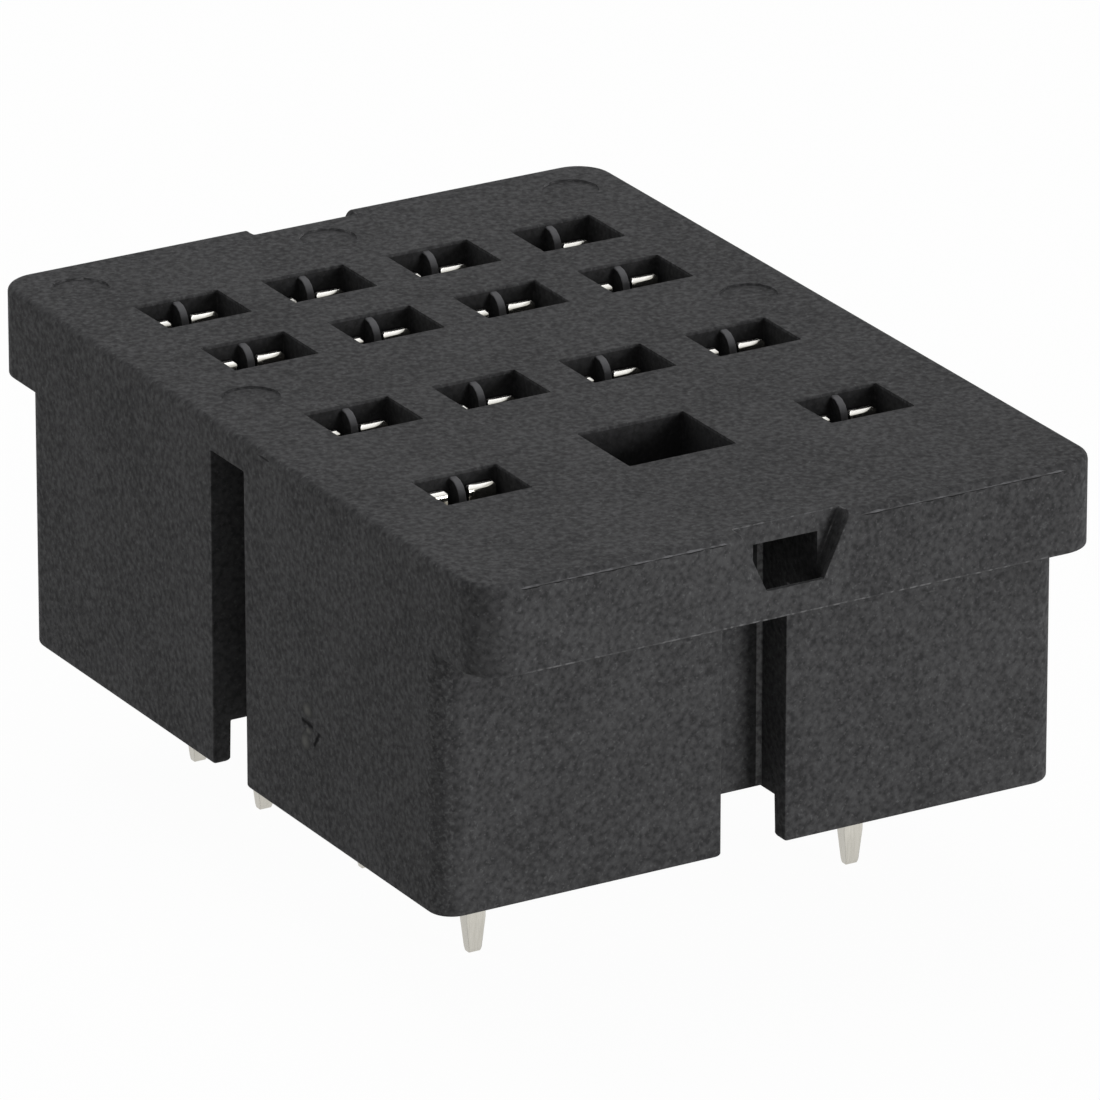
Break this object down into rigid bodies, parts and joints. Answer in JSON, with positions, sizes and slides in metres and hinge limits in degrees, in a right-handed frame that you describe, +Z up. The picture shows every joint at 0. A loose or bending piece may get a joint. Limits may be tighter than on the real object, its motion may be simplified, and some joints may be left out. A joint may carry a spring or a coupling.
{
  "type": "relay socket",
  "caption": "Black moulded circuit board socket for a plug-in relay, with a flanged top plate, rows of sprung tin-plated contacts and flat solder pins.",
  "frame": {"origin": "centre of the top plate's outline, on the board plane that the skirt stands on", "axes": "+Z up from the board, X along the contact rows, -Y towards the front row with two contacts"},
  "size_m": [0.0212, 0.0298, 0.0152],
  "materials": {
    "housing_plastic": "matt black glass-filled thermoplastic with a fine speckled grain",
    "contact_metal": "bright tin plating on phosphor bronze strip"
  },
  "bodies": {
    "root": {"housing": "housing_plastic", "contact_1": "contact_metal", "contact_2": "contact_metal", "contact_3": "contact_metal", "contact_4": "contact_metal", "contact_5": "contact_metal", "contact_6": "contact_metal", "contact_7": "contact_metal", "contact_8": "contact_metal", "contact_9": "contact_metal", "contact_10": "contact_metal", "contact_11": "contact_metal", "contact_12": "contact_metal", "contact_13": "contact_metal", "contact_14": "contact_metal"}
  },
  "joints": []
}
